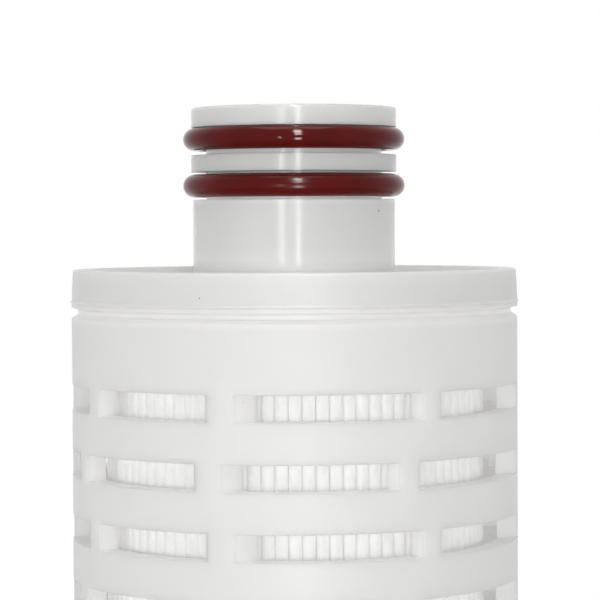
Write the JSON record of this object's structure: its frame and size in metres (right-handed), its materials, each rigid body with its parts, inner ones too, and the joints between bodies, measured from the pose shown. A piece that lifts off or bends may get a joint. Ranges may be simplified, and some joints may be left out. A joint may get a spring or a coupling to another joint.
{
  "type": "pleated filter cartridge",
  "caption": "Upright pleated filter cartridge: slotted white cage round a folded medium on a perforated core, with a closed base and a double-ring push-in outlet neck.",
  "frame": {"origin": "centre of the bottom face, on the axis", "axes": "+Z along the axis, up towards the outlet neck; -Y is the side that the picture shows"},
  "size_m": [0.0694, 0.0694, 0.2739],
  "materials": {
    "white_moulding": "smooth natural polypropylene, slightly translucent",
    "white_cage": "satin natural polypropylene, slightly translucent",
    "white_media": "soft matt non-woven sheet",
    "red_rubber": "glossy moulded silicone rubber, dark red-brown"
  },
  "bodies": {
    "root": {"adapter_end_cap": "white_moulding", "upper_o_ring": "red_rubber", "lower_o_ring": "red_rubber", "outer_cage": "white_cage", "pleated_media": "white_media", "inner_core": "white_moulding", "bottom_end_cap": "white_moulding"}
  },
  "joints": []
}
